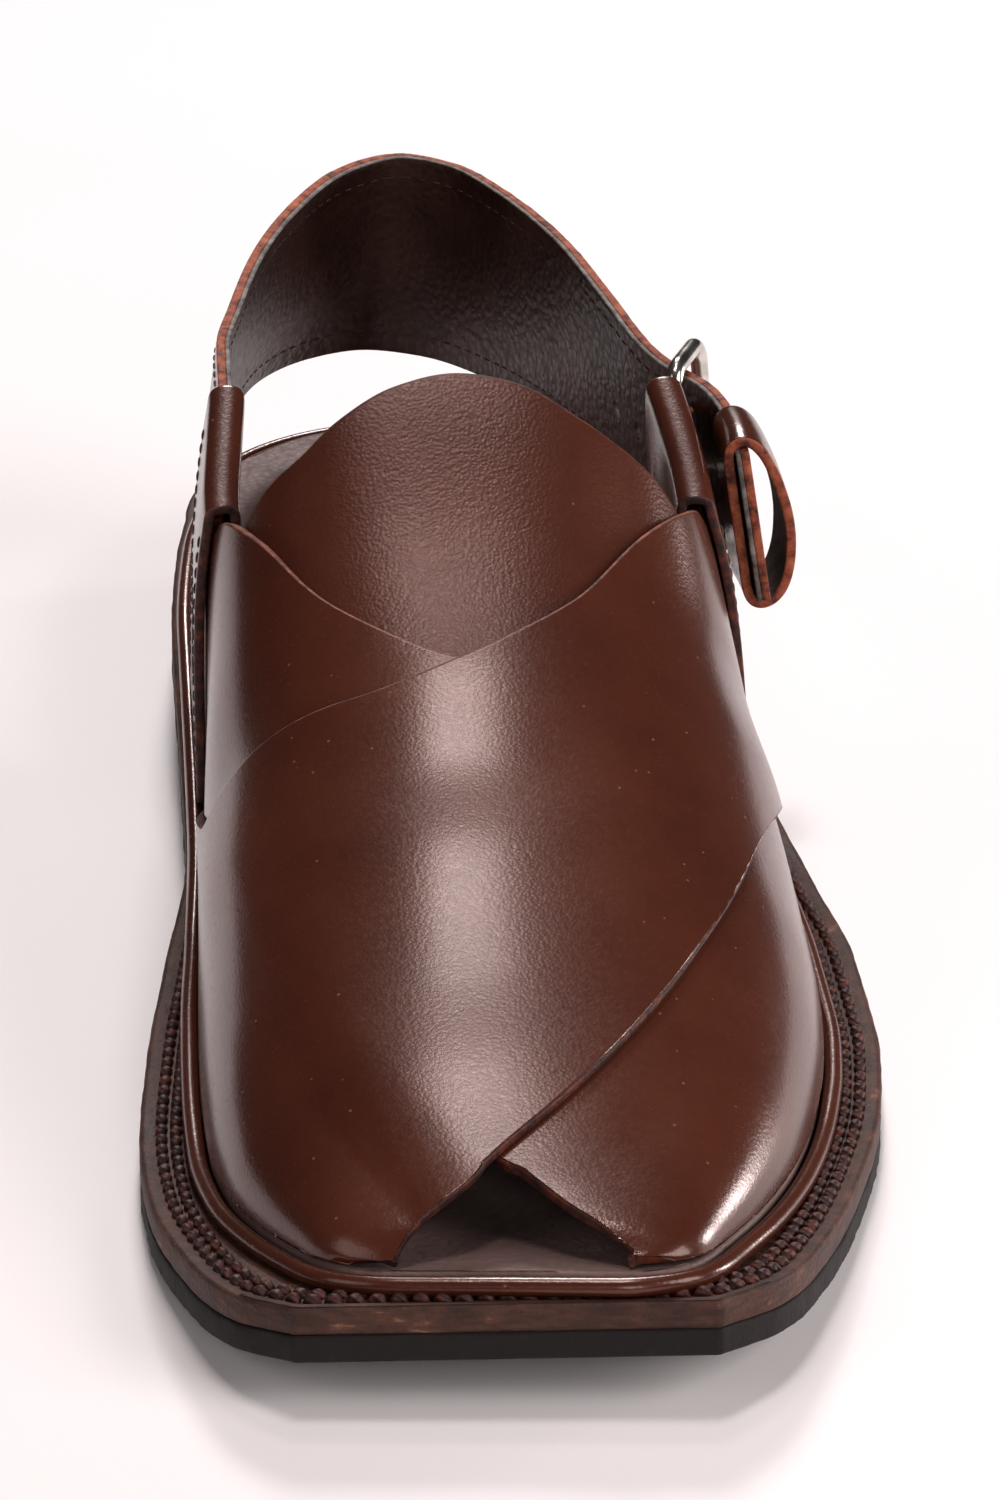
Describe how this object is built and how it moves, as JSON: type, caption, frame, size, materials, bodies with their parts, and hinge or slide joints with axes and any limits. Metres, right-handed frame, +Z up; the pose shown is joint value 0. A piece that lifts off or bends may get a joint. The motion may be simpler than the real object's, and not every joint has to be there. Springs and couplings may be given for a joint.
{
  "type": "peshawari chappal",
  "caption": "Left open-toed leather sandal: crossed bands over the forefoot, a tongue, side loops, a lined heel strap with a side buckle, and a heeled leather and rubber sole.",
  "frame": {"origin": "centre of the shoe's box, on the floor it stands on", "axes": "+Z up, +Y from toe to heel, +X towards the outer (lateral) side of the left foot"},
  "size_m": [0.111, 0.296, 0.088],
  "materials": {
    "upper_leather": "polished, fine grain",
    "sole_leather": "edge-dyed, waxed",
    "insole_leather": "dark, worn matt",
    "rubber": "matt",
    "steel": "polished wire"
  },
  "bodies": {
    "root": {"outsole": "rubber", "heel_lift": "rubber", "midsole": "sole_leather", "rand": "sole_leather", "insole": "insole_leather", "upper": "upper_leather", "tongue": "upper_leather", "quarter_medial": "upper_leather", "quarter_lateral": "upper_leather", "heel_strap": "upper_leather", "buckle_strap": "upper_leather", "keeper": "upper_leather", "buckle_frame": "steel", "buckle_prong": "steel"}
  },
  "joints": []
}
